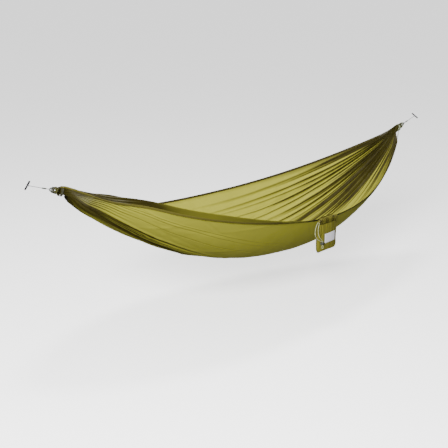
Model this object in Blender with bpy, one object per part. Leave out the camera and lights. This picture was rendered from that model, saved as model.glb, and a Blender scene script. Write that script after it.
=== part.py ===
"""Camping hammock: a gathered-end fabric bed hung from two toggle lines, with a drawcord pouch on one hem.

Frame: +X runs from the left end loop to the right one, the pouch is on the -Y side, +Z is up.
The origin is the bearing point of the left end loop, where its toggle line pulls.
All sizes are in metres.
"""
import math
import bpy
import numpy as np
from mathutils import Vector

# ---- driving dimensions ------------------------------------------------------------------
CHORD = 2.600            # between the two gathered tips of the fabric
END_ANGLE = 0.2973       # how far each line points above level
TIP_U = 0.030            # from a loop's bearing point to the fabric's tip
END_U = 0.0465           # where the fabric's bundle starts
FABRIC = 0.0035          # the fabric's stand-in thickness in the bed
BUNDLE = 0.0054          # and where it's gathered
HEM_W = 0.011            # a rolled hem's width
GAP = 0.0003             # between pieces that touch

# the bed's guide curves: depth or half width, how full, and how they lean to one end
NEAR = dict(w=0.400, d=0.298, p=2.64, q=1.84, lean_y=-0.135, lean_z=0.150)
FAR = dict(w=0.440, d=0.300, p=2.32, q=2.32, lean_y=-0.125, lean_z=-0.045)
KEEL = dict(d=0.540, q=2.18, lean_z=0.058)
SECTION = 2.68           # how square the trough's section is
S_OPEN, S_TIGHT = 0.900, 0.972    # the fabric closes to a bundle between these
BUNDLE_V, BUNDLE_TOP, BUNDLE_LOW = 0.0065, 0.012, -0.014

LOOP_R = 0.0030          # end loop's cord
SEIZING_R = 0.00125      # thin lashing cord, drawcord and tails
LINE_R = 0.0015          # toggle line and whipping
TOGGLE_O = 0.125         # from a loop's bearing point to its toggle
KNOT_O = 0.1164
LINE_O = (0.0222, 0.1135)
SLEEVE_O = (0.0222, 0.0455)
SWAY_O = 0.0205           # where a line bends beside its eye
BAR_HALF, BAR_R, GROOVE_R, GROOVE_HALF = 0.0245, 0.0040, 0.0030, 0.0018
BAR_FLAT = 0.0034        # from the bar's axis to its flat
TAIL_V = -0.0136         # the tails leave the bundle on the pouch's side
TAIL_DROP = ((0, 0), (-0.12, -0.25), (-0.38, -0.50), (-0.70, -0.77), (-1.0, -1.0))

POUCH_S = 0.085          # the pouch's place along the near hem
POUCH_HALF, POUCH_TOP, POUCH_END = 0.0900, 0.0180, 0.1620
POUCH_MID = 0.0152
POUCH_CORNER = 0.022
BINDING_R = 0.0020
LABEL_A, LABEL_D = (-0.032, 0.066), (0.072, 0.121)
COLLAR_HALF, COLLAR_UP, COLLAR_DOWN = 0.083, -0.0160, 0.0175
LOCK = Vector((-0.0718, 0.0390, 0.1120))   # the cord lock in the pouch's own frame
LOCK_R, LOCK_BORE, LOCK_BACK, LOCK_FRONT = 0.0070, 0.0053, -0.0100, 0.0080
BUTTON_R, BUTTON_BACK, BUTTON_FRONT = 0.0050, -0.0025, 0.0130
SLOT_HALF_N, SLOT_HALF_A, BUTTON_TRAVEL = 0.0031, 0.0032, 0.0035
CORD_A, CORD_N = 0.00175, 0.00155     # the drawcord's two runs beside the lock's middle

HALF = CHORD / 2
COS, SIN = math.cos(END_ANGLE), math.sin(END_ANGLE)
MIDDLE = Vector((TIP_U * COS + HALF, 0.0, -TIP_U * SIN))
S_END = 1 - (END_U - TIP_U) * COS / HALF     # where the cloth stops, as a share of HALF


class End:
    """The axes at one end: u runs into the fabric, v is +Y, w is square to both and up."""

    def __init__(self, name, side, bar_turn):
        self.name, self.side = name, side
        self.base = Vector((MIDDLE.x + side * (HALF + TIP_U * COS), 0.0, 0.0))
        self.u = Vector((-side * COS, 0.0, -SIN))
        self.v = Vector((0.0, 1.0, 0.0))
        self.w = Vector((-side * SIN, 0.0, COS))
        self.bar = self.w * math.cos(bar_turn) + self.v * (side * math.sin(bar_turn))
        self.tilt = self.u.cross(self.bar)

    def at(self, u, v=0.0, w=0.0):
        return self.base + self.u * u + self.v * v + self.w * w


ENDS = (End("left", -1, math.radians(26.6)), End("right", 1, math.radians(52.5)))


# ---- materials and objects ---------------------------------------------------------------
def material(name, colour, roughness, metallic=0.0):
    made = bpy.data.materials.new(name)
    made.use_nodes = True
    shader = made.node_tree.nodes["Principled BSDF"]
    shader.inputs["Base Color"].default_value = (*colour, 1.0)
    shader.inputs["Roughness"].default_value = roughness
    shader.inputs["Metallic"].default_value = metallic
    return made


def palette():
    return {
        "nylon": material("nylon", (0.36, 0.37, 0.05), 0.45),
        "hem": material("hem", (0.12, 0.11, 0.02), 0.55),
        "end_cord": material("end_cord", (0.05, 0.07, 0.03), 0.7),
        "lashing": material("lashing", (0.20, 0.22, 0.12), 0.7),
        "line": material("line", (0.55, 0.55, 0.55), 0.6),
        "line_sleeve": material("line_sleeve", (0.35, 0.35, 0.36), 0.6),
        "alloy": material("alloy", (0.03, 0.03, 0.035), 0.35, 1.0),
        "label": material("label", (0.80, 0.81, 0.82), 0.6),
        "plastic": material("plastic", (0.06, 0.07, 0.05), 0.5),
        "steel": material("steel", (0.55, 0.55, 0.56), 0.3, 1.0),
    }


def place(obj, mat, origin):
    bpy.context.scene.collection.objects.link(obj)
    obj.data.materials.append(mat)
    obj.location = origin
    return obj


def skin(name, rings, mat, origin=Vector(), ring_closed=True, loop=False):
    """A closed body through rings of points; loop=True joins the last ring to the first."""
    n = len(rings[0])
    verts = [Vector(p) - origin for ring in rings for p in ring]
    faces = []
    for i in range(len(rings) if loop else len(rings) - 1):
        a, b = i * n, ((i + 1) % len(rings)) * n
        for j in range(n if ring_closed else n - 1):
            k = (j + 1) % n
            faces.append((a + j, a + k, b + k, b + j))
    if not loop:
        for start, flip in ((0, True), ((len(rings) - 1) * n, False)):
            centre = len(verts)
            verts.append(sum((verts[start + j] for j in range(n)), Vector()) / n)
            for j in range(n):
                pair = (start + j, start + (j + 1) % n)
                faces.append((*(reversed(pair) if flip else pair), centre))
    mesh = bpy.data.meshes.new(name)
    mesh.from_pydata([tuple(v) for v in verts], [], faces)
    face_out(mesh)
    return place(bpy.data.objects.new(name, mesh), mat, origin)


def face_out(mesh):
    """Turn every face outward, judged by the sign of the enclosed volume."""
    mesh.update()
    volume = 0.0
    for poly in mesh.polygons:
        p = [mesh.vertices[i].co for i in poly.vertices]
        for k in range(1, len(p) - 1):
            volume += p[0].dot(p[k].cross(p[k + 1]))
    if volume < 0:
        mesh.flip_normals()
    mesh.update()


def slab(name, front, back, mat, origin=Vector()):
    """A closed body between two grids of points with the same layout."""
    rows, cols = len(front), len(front[0])
    rings = []
    for i in range(rows):
        rings.append(list(front[i]) + list(reversed(back[i])))
    n = 2 * cols
    verts = [Vector(p) - origin for ring in rings for p in ring]
    faces = []
    for i in range(rows - 1):
        for j in range(n):
            k = (j + 1) % n
            faces.append((i * n + j, i * n + k, (i + 1) * n + k, (i + 1) * n + j))
    for i, flip in ((0, True), (rows - 1, False)):
        for j in range(cols - 1):
            quad = [i * n + j, i * n + j + 1, i * n + n - 2 - j, i * n + n - 1 - j]
            faces.append(tuple(reversed(quad)) if flip else tuple(quad))
    mesh = bpy.data.meshes.new(name)
    mesh.from_pydata([tuple(v) for v in verts], [], faces)
    face_out(mesh)
    return place(bpy.data.objects.new(name, mesh), mat, origin)


def cord(name, points, radius, mat, origin=Vector(), closed=False):
    curve = bpy.data.curves.new(name, "CURVE")
    curve.dimensions = "3D"
    curve.bevel_depth = radius
    curve.bevel_resolution = 2
    curve.use_fill_caps = not closed
    spline = curve.splines.new("POLY")
    spline.points.add(len(points) - 1)
    for point, p in zip(spline.points, points):
        point.co = (*(Vector(p) - origin), 1.0)
    spline.use_cyclic_u = closed
    return place(bpy.data.objects.new(name, curve), mat, origin)


def turned(name, centre, axis, side, profile, mat, origin=Vector(), steps=24, flat=None):
    """A body turned about axis from (along, radius) pairs; flat cuts it short towards side."""
    other = axis.cross(side)
    rings = []
    for along, radius in profile:
        ring = []
        for k in range(steps):
            turn = 2 * math.pi * k / steps
            reach = radius * math.cos(turn)
            if flat is not None:
                reach = min(reach, flat)
            ring.append(centre + axis * along + side * reach + other * (radius * math.sin(turn)))
        rings.append(ring)
    return skin(name, rings, mat, origin)


def smooth_route(points, step):
    """An even polyline along a smooth curve through hand-placed points."""
    p = [np.array(q, float) for q in points]
    p = [2 * p[0] - p[1]] + p + [2 * p[-1] - p[-2]]
    dense = []
    for i in range(1, len(p) - 2):
        for k in range(24):
            t = k / 24
            dense.append(0.5 * (2 * p[i] + (p[i + 1] - p[i - 1]) * t
                                + (2 * p[i - 1] - 5 * p[i] + 4 * p[i + 1] - p[i + 2]) * t * t
                                + (3 * p[i] - p[i - 1] - 3 * p[i + 1] + p[i + 2]) * t ** 3))
    dense.append(p[-2])
    dense = np.array(dense)
    run = np.concatenate([[0], np.cumsum(np.linalg.norm(np.diff(dense, axis=0), axis=1))])
    count = max(2, int(round(run[-1] / step)) + 1)
    even = np.linspace(0, run[-1], count)
    return [Vector([float(np.interp(e, run, dense[:, k])) for k in range(3)]) for e in even]


# ---- the fabric bed ----------------------------------------------------------------------
def bell(s, power):
    return 1 - np.abs(s) ** power


def bed_section(s, samples=129):
    """Points across the bed at s, from the near hem's edge to the far one's."""
    t = np.linspace(-1, 1, samples)
    lean = s * (1 - s * s)
    y_near = -(NEAR["w"] * bell(s, NEAR["p"]) + NEAR["lean_y"] * lean)
    z_near = -(NEAR["d"] * bell(s, NEAR["q"]) + NEAR["lean_z"] * lean)
    y_far = FAR["w"] * bell(s, FAR["p"]) + FAR["lean_y"] * lean
    z_far = -(FAR["d"] * bell(s, FAR["q"]) + FAR["lean_z"] * lean)
    z_keel = -(KEEL["d"] * bell(s, KEEL["q"]) + KEEL["lean_z"] * lean)
    y = np.where(t < 0, -y_near * t, y_far * t)
    z = z_keel + (np.where(t < 0, z_near, z_far) - z_keel) * np.abs(t) ** SECTION
    open_part = np.stack([np.full(samples, MIDDLE.x + s * HALF), y, MIDDLE.z + z], axis=1)
    end = ENDS[0] if s < 0 else ENDS[1]
    u = TIP_U + (1 - abs(s)) * HALF / COS
    v = np.sign(t) * BUNDLE_V * np.sin(np.pi / 2 * np.minimum(1, np.abs(t) * 2.2))
    w = BUNDLE_LOW + (BUNDLE_TOP - BUNDLE_LOW) * t * t
    bundle = (np.array(end.base) + np.array(end.u) * u
              + v[:, None] * np.array(end.v) + w[:, None] * np.array(end.w))
    close = tightness(s)
    return open_part * (1 - close) + bundle * close


def tightness(s):
    k = min(1.0, max(0.0, (abs(s) - S_OPEN) / (S_TIGHT - S_OPEN)))
    return k * k * (3 - 2 * k)


def half_thickness(s):
    return (FABRIC + (BUNDLE - FABRIC) * tightness(s)) / 2


def section_frame(s, shares, edge):
    """Points and normals across the bed, spaced by arc length between two edges' insets."""
    line = bed_section(s)
    run = np.concatenate([[0], np.cumsum(np.linalg.norm(np.diff(line, axis=0), axis=1))])
    inset = edge(run[-1])
    stations = inset + np.asarray(shares) * (run[-1] - 2 * inset)

    def read(at, curve, reach):
        return np.stack([np.interp(at, reach, curve[:, k]) for k in range(3)], axis=1)

    points = read(stations, line, run)
    step = 0.0015
    across = read(np.clip(stations + step, 0, run[-1]), line, run) \
        - read(np.clip(stations - step, 0, run[-1]), line, run)
    along = np.zeros_like(points)
    for sign in (-1, 1):
        t = min(S_END, max(-S_END, s + sign * 0.002))
        other = bed_section(t)
        far = np.concatenate([[0], np.cumsum(np.linalg.norm(np.diff(other, axis=0), axis=1))])
        along += sign * read(stations / run[-1] * far[-1], other, far)
    normal = np.cross(along, across)
    return points, normal / np.linalg.norm(normal, axis=1)[:, None], across, run[-1]


def hem_width(length):
    return min(HEM_W, 0.12 * length)


def stations():
    """Places along the bed, closer together towards the ends."""
    k = np.linspace(-1, 1, 57)
    return S_END * (np.sign(k) * (1 - (1 - np.abs(k)) ** 1.7) * 0.55 + 0.45 * k)


def bed_panel(mat):
    shares = np.linspace(0, 1, 19)
    top, low = [], []
    for s in stations():
        p, n, _, _ = section_frame(s, shares, lambda length: hem_width(length) + GAP)
        h = half_thickness(s)
        top.append([Vector(q) for q in p + n * h])
        low.append([Vector(q) for q in p - n * h])
    slab("bed_panel", top, low, mat)


def hem(name, last, mat):
    """A rolled hem along one edge; last picks the far edge."""
    rings = []
    for s in stations():
        p, n, across, length = section_frame(s, (0, 1), lambda run: hem_width(run) / 2)
        p, n, across = p[last], n[last], across[last] / np.linalg.norm(across[last])
        a, b = hem_width(length) / 2, half_thickness(s) + 0.0004
        rings.append([Vector(p + across * (a * x) + n * (b * y)) for x, y in (
            (1, 0.5), (0.8, 1), (-0.8, 1), (-1, 0.5), (-1, -0.5), (-0.8, -1), (0.8, -1), (1, -0.5))])
    skin(name, rings, mat)


# ---- the gathered ends -------------------------------------------------------------------
def loop_arc(centre_u, radius, first, final, count):
    turns = np.linspace(first, final, count)
    return [(centre_u + radius * math.cos(a), radius * math.sin(a)) for a in turns]


LOOP_OUT = (0.004, 0.007)    # centre along u and radius of the loop's eye
LOOP_IN = (0.028, 0.010)     # and of its turn inside the channel
LOOP_LEAN = math.asin((LOOP_IN[1] - LOOP_OUT[1]) / (LOOP_IN[0] - LOOP_OUT[0]))


def channel_route():
    """The loop's turn inside the fabric, with a short piece of each leg."""
    quarter = math.pi / 2 + LOOP_LEAN
    arc = loop_arc(*LOOP_IN, -quarter, quarter, 17)
    leg = [(-math.cos(LOOP_LEAN) * d, -math.sin(LOOP_LEAN) * d) for d in (0.006, 0.003)]
    first = [(arc[0][0] + du, arc[0][1] - dw) for du, dw in leg]
    final = [(arc[-1][0] + du, arc[-1][1] + dw) for du, dw in reversed(leg)]
    return first + arc + final


def end_loop(end, mat):
    quarter = math.pi / 2 + LOOP_LEAN
    eye = loop_arc(*LOOP_OUT, quarter, 2 * math.pi - quarter, 13)
    route = eye + channel_route()
    cord(end.name + "_end_loop", [end.at(u, 0, w) for u, w in route], LOOP_R, mat, closed=True)


def end_channel(end, mat):
    """The ruffled fabric sleeve that the loop runs through."""
    route = channel_route()
    steps, outer, inner = 12, [], []
    for i, (u, w) in enumerate(route):
        before, after = route[max(0, i - 1)], route[min(len(route) - 1, i + 1)]
        du, dw = after[0] - before[0], after[1] - before[1]
        size = math.hypot(du, dw)
        side = end.u * (dw / size) - end.w * (du / size)
        grow = 0.0076 - 0.0006 * (i % 2)
        for ring, radius in ((outer, grow), (inner, LOOP_R + GAP)):
            ring.append([end.at(u, 0, w) + side * (radius * math.cos(2 * math.pi * k / steps))
                         + end.v * (radius * math.sin(2 * math.pi * k / steps)) for k in range(steps)])
    skin(end.name + "_end_channel", outer + inner[::-1], mat, loop=True)


def lashing(name, end, start_u, turns, pitch, half_v, half_w, centre_w, power, radius, mat):
    """A cord wound round the end as a flattened helix."""
    points, per_turn = [], 20
    for k in range(turns * per_turn + 1):
        a = 2 * math.pi * k / per_turn - math.pi / 2
        c, s = math.cos(a), math.sin(a)
        v = math.copysign(abs(c) ** (2 / power), c) * half_v
        w = math.copysign(abs(s) ** (2 / power), s) * half_w
        points.append(end.at(start_u + pitch * k / per_turn, v, centre_w + w))
    cord(name, points, radius, mat)


def tails(end, mat):
    """The lashing cord's two free ends, hanging from the right bundle."""
    for name, u, w, length, drift in (("right_tail_long", 0.0715, -0.004, 0.150, 0.40),
                                      ("right_tail_short", 0.0668, -0.008, 0.125, 0.30)):
        first = end.at(u, TAIL_V, w)
        route = [first + Vector((x * drift, 0.0, z)) * (length / 1.08) for x, z in TAIL_DROP]
        cord(name, smooth_route(route, 0.006), SEIZING_R, mat)


# ---- the toggle lines --------------------------------------------------------------------
def line_eye(end, mat):
    """A closed eye round the end loop, pulled out to a point."""
    centre, radius = -0.0030, 0.0048
    arc = [(centre + radius * math.cos(a), radius * math.sin(a))
           for a in np.linspace(-1.75, 1.75, 13)]
    point = [(-0.0125, 0.0026), (-0.0158, 0.0017), (-0.0169, 0.0012), (-0.0174, 0.0),
             (-0.0169, -0.0012), (-0.0158, -0.0017), (-0.0125, -0.0026)]
    origin = end.at(LOOP_OUT[0])
    cord(end.name + "_line_eye", [end.at(u, v, 0) for u, v in arc + point], LINE_R, mat,
         origin, closed=True)


def line_sleeve(end, mat):
    first, final = SLEEVE_O
    bore, wall = LINE_R + GAP, 0.0031
    profile = [(first, bore), (first, 0.0022), (first + 0.003, wall), (final - 0.003, wall),
               (final, 0.0022), (final, bore)]
    rings = []
    for out, radius in profile:
        rings.append([end.at(-out) + end.v * (radius * math.cos(2 * math.pi * k / 16))
                      + end.w * (radius * math.sin(2 * math.pi * k / 16)) for k in range(16)])
    skin(end.name + "_line_sleeve", rings, mat, end.at(-SWAY_O), loop=True)


def line(end, mat):
    outs = np.linspace(*LINE_O, 14)
    cord(end.name + "_line", [end.at(-o) for o in outs], LINE_R, mat, end.at(-SWAY_O))


def line_knot(end, mat):
    radius = 0.0026
    profile = [(radius * math.sin(a), radius * math.cos(a)) for a in np.linspace(-1.25, 1.25, 9)]
    turned(end.name + "_line_knot", end.at(-KNOT_O), -end.u, end.v, profile, mat,
           end.at(-KNOT_O), steps=16)


def toggle_bar(end, mat):
    dome = [(BAR_HALF - BAR_R * (1 - math.sin(a)) * 0.7, BAR_R * math.cos(a))
            for a in np.linspace(1.35, 0.0, 6)]
    half = dome + [(GROOVE_HALF + 0.0007, BAR_R), (GROOVE_HALF, GROOVE_R)]
    profile = half + [(-along, radius) for along, radius in reversed(half)]
    turned(end.name + "_toggle_bar", end.at(-TOGGLE_O), end.bar, end.u, profile, mat,
           end.at(-KNOT_O), flat=BAR_FLAT)


def toggle_noose(end, mat):
    centre = end.at(-TOGGLE_O)
    points = [centre + end.u * (0.0045 * math.cos(a)) + end.tilt * (0.0045 * math.sin(a))
              for a in np.linspace(0, 2 * math.pi, 25)[:-1]]
    cord(end.name + "_toggle_noose", points, 0.0012, mat, end.at(-KNOT_O), closed=True)


# ---- the pouch ---------------------------------------------------------------------------
def pouch_frame():
    """The hem's middle under the pouch and the pouch's axes: along the hem, outward, down."""
    p, _, _, _ = section_frame(POUCH_S, (0, 1), lambda run: hem_width(run) / 2)
    q, _, _, _ = section_frame(POUCH_S + 0.02, (0, 1), lambda run: hem_width(run) / 2)
    along = Vector((q[0][0] - p[0][0], q[0][1] - p[0][1], 0.0)).normalized()
    return Vector(p[0]), along, Vector((along.y, -along.x, 0.0)), Vector((0.0, 0.0, -1.0))


HEM_POINT, ALONG, OUT, DOWN = pouch_frame()
HINGE = (0.0088, -0.0170)     # outward and down


def on_pouch(a, n, d):
    return HEM_POINT + ALONG * a + OUT * n + DOWN * d


POUCH_ORIGIN = on_pouch(0, *HINGE)


def outline_half(d):
    """Half the pouch's width at d, with its lower corners rounded."""
    into = max(0.0, d - (POUCH_END - POUCH_CORNER))
    return POUCH_HALF - POUCH_CORNER + math.sqrt(max(0.0, POUCH_CORNER ** 2 - into ** 2))


def bulge(a, d):
    """How far the pouch's front stands out in front of its seam."""
    across = 1 - abs(a / POUCH_HALF) ** 2.6
    down = 1 - abs(2 * (d - POUCH_TOP) / (POUCH_END - POUCH_TOP) - 1) ** 3
    return 0.0022 + 0.0118 * max(0.0, across) * (0.55 + 0.45 * max(0.0, down))


def pouch_depths():
    straight = np.linspace(POUCH_TOP, POUCH_END - POUCH_CORNER, 9)
    turn = POUCH_END - POUCH_CORNER + POUCH_CORNER * np.sin(np.linspace(0, 1.35, 6)[1:])
    return list(straight) + list(turn)


def pouch_front(mat):
    front, back = [], []
    for d in pouch_depths():
        half = outline_half(d)
        row = [half * k for k in np.linspace(-1, 1, 17)]
        front.append([on_pouch(a, POUCH_MID + bulge(a, d), d) for a in row])
        back.append([on_pouch(a, POUCH_MID + GAP / 2, d) for a in row])
    slab("pouch_front", front, back, mat, POUCH_ORIGIN)


def pouch_back(mat):
    front, back = [], []
    for d in pouch_depths():
        half = outline_half(d)
        row = [half * k for k in np.linspace(-1, 1, 9)]
        front.append([on_pouch(a, POUCH_MID - GAP / 2, d) for a in row])
        back.append([on_pouch(a, POUCH_MID - 0.0018 - 0.25 * (bulge(a, d) - 0.0022), d) for a in row])
    slab("pouch_back", front, back, mat, POUCH_ORIGIN)


def binding_route():
    off = BINDING_R + GAP
    half, end, corner = POUCH_HALF + off, POUCH_END + off, POUCH_CORNER + off
    left = [(-half, d) for d in np.linspace(POUCH_TOP + 0.003, end - corner, 12)]
    turn = [(-half + corner * (1 - math.cos(a)), end - corner * (1 - math.sin(a)))
            for a in np.linspace(0, math.pi / 2, 9)[1:]]
    floor = [(a, end) for a in np.linspace(-half + corner, 0, 9)[1:-1]]
    side = left + turn + floor
    return side + [(0.0, end)] + [(-a, d) for a, d in reversed(side)]


def pouch_binding(mat):
    points = [on_pouch(a, POUCH_MID, d) for a, d in binding_route()]
    cord("pouch_binding", points, BINDING_R, mat, POUCH_ORIGIN)


def pouch_channel(mat):
    """The gathered top that the drawcord runs through."""
    rings, steps, count = [], 16, 41
    mid_n, mid_d = 0.0225, (COLLAR_UP + COLLAR_DOWN) / 2
    for i in range(count):
        k = 2 * i / (count - 1) - 1
        size = (1 - 0.28 * abs(k) ** 4) * (1 - 0.05 * (i % 2))
        rings.append([on_pouch(
            COLLAR_HALF * k,
            mid_n + 0.0128 * size * math.copysign(abs(math.cos(a)) ** 0.75, math.cos(a)),
            mid_d + (COLLAR_DOWN - COLLAR_UP) / 2 * size * math.copysign(
                abs(math.sin(a)) ** 0.75, math.sin(a)))
            for a in (2 * math.pi * j / steps for j in range(steps))])
    skin("pouch_channel", rings, mat, POUCH_ORIGIN)


def pouch_label(mat):
    front, back = [], []
    for d in np.linspace(*LABEL_D, 6):
        row = np.linspace(*LABEL_A, 11)
        back.append([on_pouch(a, POUCH_MID + bulge(a, d) + 0.0005, d) for a in row])
        front.append([on_pouch(a, POUCH_MID + bulge(a, d) + 0.0015, d) for a in row])
    slab("pouch_label", front, back, mat, POUCH_ORIGIN)


def pouch_tape(mat):
    """The strip that the pouch's back is sewn to the hem with."""
    front, back = [], []
    for d in np.linspace(-0.0165, 0.0045, 3):
        row = np.linspace(-0.055, 0.055, 7)
        back.append([on_pouch(a, 0.0062, d) for a in row])
        front.append([on_pouch(a, 0.0082, d) for a in row])
    slab("pouch_tape", front, back, mat)


def drawcord(mat):
    """One cord: out of the channel, down through the lock, round and back up."""
    a, n, d = LOCK.x + CORD_A, LOCK.y, LOCK.z
    outer = [(-0.0842, 0.0195, 0.0010), (-0.1040, 0.0235, 0.0100), (-0.1250, 0.0290, 0.0290),
             (-0.1330, 0.0335, 0.0530), (-0.1210, 0.0368, 0.0780), (-0.0900, n + CORD_N, 0.0965),
             (a - 0.0030, n + CORD_N, 0.1020), (a, n + CORD_N, d - 0.0076), (a, n + CORD_N, d),
             (a, n + CORD_N, d + 0.0080)]
    turn = [(a, n + 0.0040, d + 0.0170), (a, n + 0.0048, d + 0.0230), (a, n, d + 0.0285),
            (a, n - 0.0048, d + 0.0230), (a, n - 0.0040, d + 0.0170)]
    inner = [(-0.0842, 0.0262, 0.0040), (-0.0970, 0.0300, 0.0180), (-0.1070, 0.0345, 0.0420),
             (-0.1010, 0.0370, 0.0680), (-0.0800, n - CORD_N, 0.0900),
             (a - 0.0012, n - CORD_N, 0.1000), (a, n - CORD_N, d - 0.0076), (a, n - CORD_N, d),
             (a, n - CORD_N, d + 0.0080)]
    route = smooth_route(outer + turn + inner[::-1], 0.0040)
    cord("drawcord", [on_pouch(*p) for p in route], SEIZING_R, mat, POUCH_ORIGIN)


def lock_point(a, n, d):
    return on_pouch(LOCK.x + a, LOCK.y + n, LOCK.z + d)


LOCK_ORIGIN = lock_point(0, 0, 0)


def cut_slot(obj, first, final):
    """Open the drawcord's slot down through a cord lock piece."""
    corners = [(a, n) for a, n in ((first, -1), (final, -1), (final, 1), (first, 1))]
    rings = [[lock_point(a, n * SLOT_HALF_N, d) for a, n in corners] for d in (-0.012, 0.012)]
    cutter = skin(obj.name + "_slot", rings, obj.data.materials[0], LOCK_ORIGIN)
    cutter.hide_render = True
    cutter.display_type = "WIRE"
    cut = obj.modifiers.new("slot", "BOOLEAN")
    cut.operation, cut.solver, cut.object = "DIFFERENCE", "EXACT", cutter


def cord_lock_barrel(mat):
    profile = [(LOCK_FRONT, LOCK_BORE), (LOCK_FRONT, LOCK_R - 0.0008), (LOCK_FRONT - 0.0008, LOCK_R),
               (LOCK_BACK + 0.0015, LOCK_R), (LOCK_BACK, LOCK_R - 0.0015)]
    inside = (LOCK_BACK + 0.0020, LOCK_BORE)
    steps = 24

    def ring(along, radius):
        return [lock_point(along, radius * math.cos(2 * math.pi * k / steps),
                           radius * math.sin(2 * math.pi * k / steps)) for k in range(steps)]

    rings = [ring(*inside)] + [ring(*p) for p in profile]
    barrel = skin("cord_lock_barrel", rings, mat, LOCK_ORIGIN)
    cut_slot(barrel, -SLOT_HALF_A, SLOT_HALF_A)


def cord_lock_button(mat):
    profile = [(BUTTON_BACK, BUTTON_R), (BUTTON_FRONT - 0.0012, BUTTON_R),
               (BUTTON_FRONT, BUTTON_R - 0.0012)]
    button = turned("cord_lock_button", LOCK_ORIGIN, ALONG, OUT, profile, mat, LOCK_ORIGIN)
    cut_slot(button, -SLOT_HALF_A + BUTTON_TRAVEL, SLOT_HALF_A + BUTTON_TRAVEL)


def cord_lock_spring(mat):
    wire, radius, turns = 0.0003, 0.0034, 3
    first, final = LOCK_BACK + 0.0020 + wire + 0.0001, BUTTON_BACK - wire - 0.0001
    points = []
    for k in range(turns * 16 + 1):
        a = 2 * math.pi * k / 16
        points.append(lock_point(first + (final - first) * k / (turns * 16),
                                 radius * math.cos(a), radius * math.sin(a)))
    cord("cord_lock_spring", points, wire, mat, LOCK_ORIGIN)


# ---- put it together ---------------------------------------------------------------------
for old in list(bpy.data.objects):
    bpy.data.objects.remove(old, do_unlink=True)

MATS = palette()
bed_panel(MATS["nylon"])
hem("near_hem", 0, MATS["hem"])
hem("far_hem", 1, MATS["hem"])
for END in ENDS:
    end_loop(END, MATS["end_cord"])
    end_channel(END, MATS["nylon"])
    lashing(END.name + "_loop_seizing", END, 0.0102, 3, 0.0027, 0.0050, 0.0132, 0.0, 4,
            SEIZING_R, MATS["lashing"])
    lashing(END.name + "_whipping", END, 0.0502, 4, 0.0033, 0.0142, 0.0202, -0.0015, 2.6,
            LINE_R, MATS["lashing"])
    line_eye(END, MATS["line"])
    line_sleeve(END, MATS["line_sleeve"])
    line(END, MATS["line"])
    line_knot(END, MATS["line"])
    toggle_bar(END, MATS["alloy"])
    toggle_noose(END, MATS["line"])
tails(ENDS[1], MATS["lashing"])
pouch_tape(MATS["hem"])
pouch_front(MATS["nylon"])
pouch_back(MATS["nylon"])
pouch_binding(MATS["hem"])
pouch_channel(MATS["nylon"])
pouch_label(MATS["label"])
drawcord(MATS["lashing"])
cord_lock_barrel(MATS["plastic"])
cord_lock_button(MATS["plastic"])
cord_lock_spring(MATS["steel"])
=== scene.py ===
"""The looks of a gathered-end camping hammock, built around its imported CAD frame.

The frame is in metres: +X from the left end loop to the right one, the pouch on the -Y side, +Z up.
"""
import math

import bpy
import numpy as np
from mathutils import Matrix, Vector


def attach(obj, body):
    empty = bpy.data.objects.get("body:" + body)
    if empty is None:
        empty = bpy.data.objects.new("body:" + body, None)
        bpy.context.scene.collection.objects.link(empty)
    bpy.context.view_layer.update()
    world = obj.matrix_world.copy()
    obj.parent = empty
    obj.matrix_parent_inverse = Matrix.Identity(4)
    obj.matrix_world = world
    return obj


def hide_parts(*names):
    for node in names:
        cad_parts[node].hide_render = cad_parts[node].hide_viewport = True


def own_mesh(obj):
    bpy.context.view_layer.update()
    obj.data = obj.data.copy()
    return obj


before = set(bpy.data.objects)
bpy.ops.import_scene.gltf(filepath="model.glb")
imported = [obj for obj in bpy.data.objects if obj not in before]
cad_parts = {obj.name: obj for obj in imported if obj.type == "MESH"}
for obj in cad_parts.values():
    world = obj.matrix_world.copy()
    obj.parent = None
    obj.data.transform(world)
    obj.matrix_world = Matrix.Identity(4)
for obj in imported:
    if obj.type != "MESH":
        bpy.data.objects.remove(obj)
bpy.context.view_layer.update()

# ---- driving dimensions, as in the CAD ---------------------------------------------------
CHORD = 2.600
END_ANGLE = 0.2973
TIP_U = 0.030
END_U = 0.0465
NEAR = dict(w=0.400, d=0.298, p=2.64, q=1.84, lean_y=-0.135, lean_z=0.150)
FAR = dict(w=0.440, d=0.300, p=2.32, q=2.32, lean_y=-0.125, lean_z=-0.045)
KEEL = dict(d=0.540, q=2.18, lean_z=0.058)
SECTION = 2.68
S_OPEN, S_TIGHT = 0.900, 0.972
BUNDLE_V, BUNDLE_TOP, BUNDLE_LOW = 0.0105, 0.0148, -0.0178     # the cloth fills the whipping
BUNDLE_SPREAD = 2.2
HALF = CHORD / 2
COS, SIN = math.cos(END_ANGLE), math.sin(END_ANGLE)
MIDDLE = Vector((TIP_U * COS + HALF, 0.0, -TIP_U * SIN))
S_END = 1 - (END_U - TIP_U) * COS / HALF

LOOP_R, SEIZING_R, LINE_R = 0.0030, 0.00125, 0.0015
LOOP_OUT, LOOP_IN = (0.004, 0.007), (0.028, 0.010)
LOOP_LEAN = math.asin((LOOP_IN[1] - LOOP_OUT[1]) / (LOOP_IN[0] - LOOP_OUT[0]))
LOOP_QUARTER = math.pi / 2 + LOOP_LEAN
TOGGLE_O, KNOT_O = 0.125, 0.1164
LINE_O, SLEEVE_O = (0.0222, 0.1135), (0.0222, 0.0455)
SWAY_O, BEAD_R = 0.0205, 0.00135
EYE_CENTRE, EYE_R = -0.0030, 0.0048
KNOT_R, KNOT_CORD_R = 0.0014, 0.00115
NOOSE_R, NOOSE_CORD_R = 0.0045, 0.0012
BAR_HALF, BAR_R, GROOVE_R, GROOVE_HALF, BAR_FLAT = 0.0245, 0.0040, 0.0030, 0.0018, 0.0034

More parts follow.
